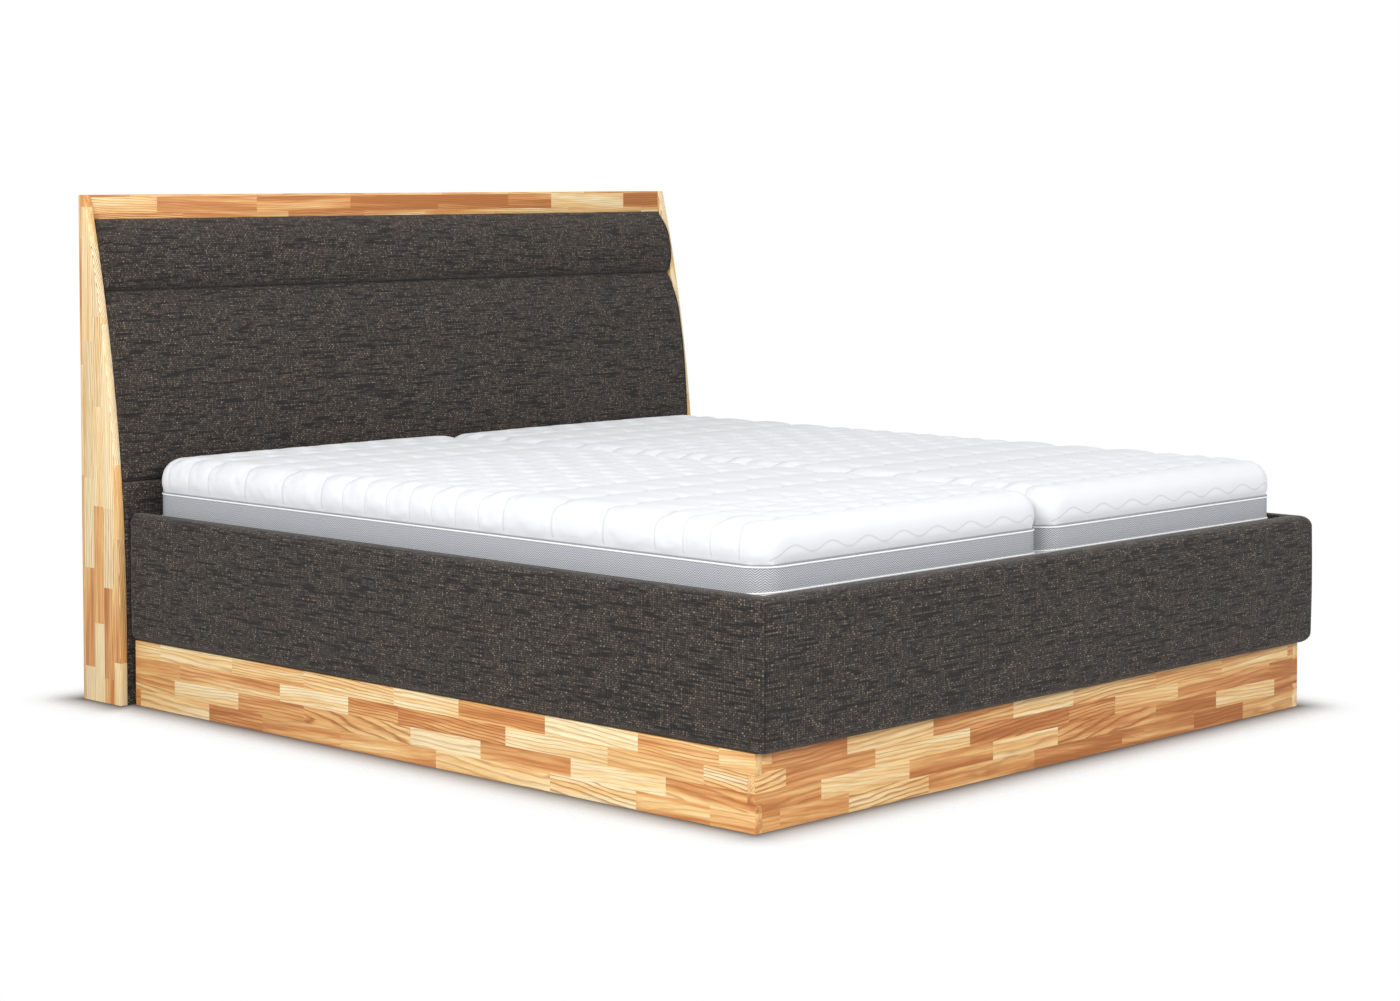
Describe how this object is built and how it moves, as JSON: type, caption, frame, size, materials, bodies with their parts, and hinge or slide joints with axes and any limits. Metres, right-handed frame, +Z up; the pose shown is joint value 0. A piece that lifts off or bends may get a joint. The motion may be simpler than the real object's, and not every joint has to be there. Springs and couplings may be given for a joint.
{
  "type": "upholstered storage bed",
  "caption": "Double storage bed: padded rails and headboard in wood cheeks, wood plinth, and two quilted mattresses on slatted frames that lift at the foot end.",
  "frame": {"origin": "on the floor, under the middle of the bed's outline", "axes": "+X to the right seen from the foot end, +Y towards the headboard, +Z up"},
  "size_m": [1.984, 2.215, 1.2212],
  "materials": {
    "oiled_wood": "oiled butcher-block hardwood",
    "raw_board": "raw board",
    "batten": "planed spruce",
    "slats": "sprung beech slats",
    "upholstery": "coarse dark woven fabric",
    "mattress": "quilted white knit with a grey mesh border",
    "fitting_steel": "zinc plated",
    "spring_cylinder": "black paint",
    "spring_rod": "ground and chromed"
  },
  "bodies": {
    "root": {"headboard_side_left": "oiled_wood", "headboard_side_right": "oiled_wood", "headboard_top_board": "oiled_wood", "headboard_back_panel": "raw_board", "headboard_backing_board": "raw_board", "headboard_base_panel": "upholstery", "headboard_bolster": "upholstery", "headboard_cushion": "upholstery", "side_rail_left_core": "raw_board", "side_rail_right_core": "raw_board", "foot_rail_core": "raw_board", "side_rail_left_cover": "upholstery", "side_rail_right_cover": "upholstery", "foot_rail_cover": "upholstery", "head_cross_board": "raw_board", "plinth_left": "oiled_wood", "plinth_right": "oiled_wood", "plinth_foot": "oiled_wood", "plinth_head": "oiled_wood", "storage_floor_left": "raw_board", "storage_floor_right": "raw_board", "floor_cleat_left": "batten", "floor_cleat_right": "batten", "centre_board": "raw_board", "centre_beam": "batten", "foot_ledge": "batten", "side_ledge_left": "batten", "side_ledge_right": "batten", "base_plate_left_outer": "fitting_steel", "base_plate_left_inner": "fitting_steel", "base_plate_right_outer": "fitting_steel", "base_plate_right_inner": "fitting_steel"},
    "left_rear_links": {"rear_link_left_outer": "fitting_steel", "rear_link_left_inner": "fitting_steel"},
    "left_frame": {"slat_frame_left": "batten", "slats_left": "slats", "mattress_stop_left": "fitting_steel", "mattress_left": "mattress", "frame_arm_left_outer": "fitting_steel", "frame_arm_left_inner": "fitting_steel"},
    "left_cylinders": {"gas_cylinder_left_outer": "spring_cylinder", "gas_cylinder_left_inner": "spring_cylinder"},
    "left_rods": {"gas_rod_left_outer": "spring_rod", "gas_rod_left_inner": "spring_rod"},
    "right_rear_links": {"rear_link_right_outer": "fitting_steel", "rear_link_right_inner": "fitting_steel"},
    "right_frame": {"slat_frame_right": "batten", "slats_right": "slats", "mattress_stop_right": "fitting_steel", "mattress_right": "mattress", "frame_arm_right_outer": "fitting_steel", "frame_arm_right_inner": "fitting_steel"},
    "right_cylinders": {"gas_cylinder_right_outer": "spring_cylinder", "gas_cylinder_right_inner": "spring_cylinder"},
    "right_rods": {"gas_rod_right_outer": "spring_rod", "gas_rod_right_inner": "spring_rod"}
  },
  "joints": [
    {"name": "left_link_turn", "type": "hinge", "parent": "root", "child": "left_rear_links", "pos_m": [-0.464, 0.86, 0.14], "axis": [1, 0, 0], "range_deg": [0, 60]},
    {"name": "left_frame_tilt", "type": "hinge", "parent": "left_rear_links", "child": "left_frame", "pos_m": [-0.464, 0.86, 0.312], "axis": [-1, 0, 0], "range_deg": [0, 96.1]},
    {"name": "left_cylinder_turn", "type": "hinge", "parent": "root", "child": "left_cylinders", "pos_m": [-0.464, 0.64, 0.065], "axis": [-1, 0, 0], "range_deg": [0, 8.5]},
    {"name": "left_rod_turn", "type": "hinge", "parent": "left_frame", "child": "left_rods", "pos_m": [-0.464, 0.41, 0.3], "axis": [1, 0, 0], "range_deg": [0, 27.7]},
    {"name": "right_link_turn", "type": "hinge", "parent": "root", "child": "right_rear_links", "pos_m": [0.464, 0.86, 0.14], "axis": [1, 0, 0], "range_deg": [0, 60]},
    {"name": "right_frame_tilt", "type": "hinge", "parent": "right_rear_links", "child": "right_frame", "pos_m": [0.464, 0.86, 0.312], "axis": [-1, 0, 0], "range_deg": [0, 96.1]},
    {"name": "right_cylinder_turn", "type": "hinge", "parent": "root", "child": "right_cylinders", "pos_m": [0.464, 0.64, 0.065], "axis": [-1, 0, 0], "range_deg": [0, 8.5]},
    {"name": "right_rod_turn", "type": "hinge", "parent": "right_frame", "child": "right_rods", "pos_m": [0.464, 0.41, 0.3], "axis": [1, 0, 0], "range_deg": [0, 27.7]}
  ],
  "couplings": [
    {"joint": "left_frame_tilt", "follows": "left_link_turn", "ratio": 1.6},
    {"joint": "left_cylinder_turn", "follows": "left_link_turn", "ratio": 0.14},
    {"joint": "left_rod_turn", "follows": "left_link_turn", "ratio": 0.46},
    {"joint": "right_frame_tilt", "follows": "right_link_turn", "ratio": 1.6},
    {"joint": "right_cylinder_turn", "follows": "right_link_turn", "ratio": 0.14},
    {"joint": "right_rod_turn", "follows": "right_link_turn", "ratio": 0.46}
  ]
}
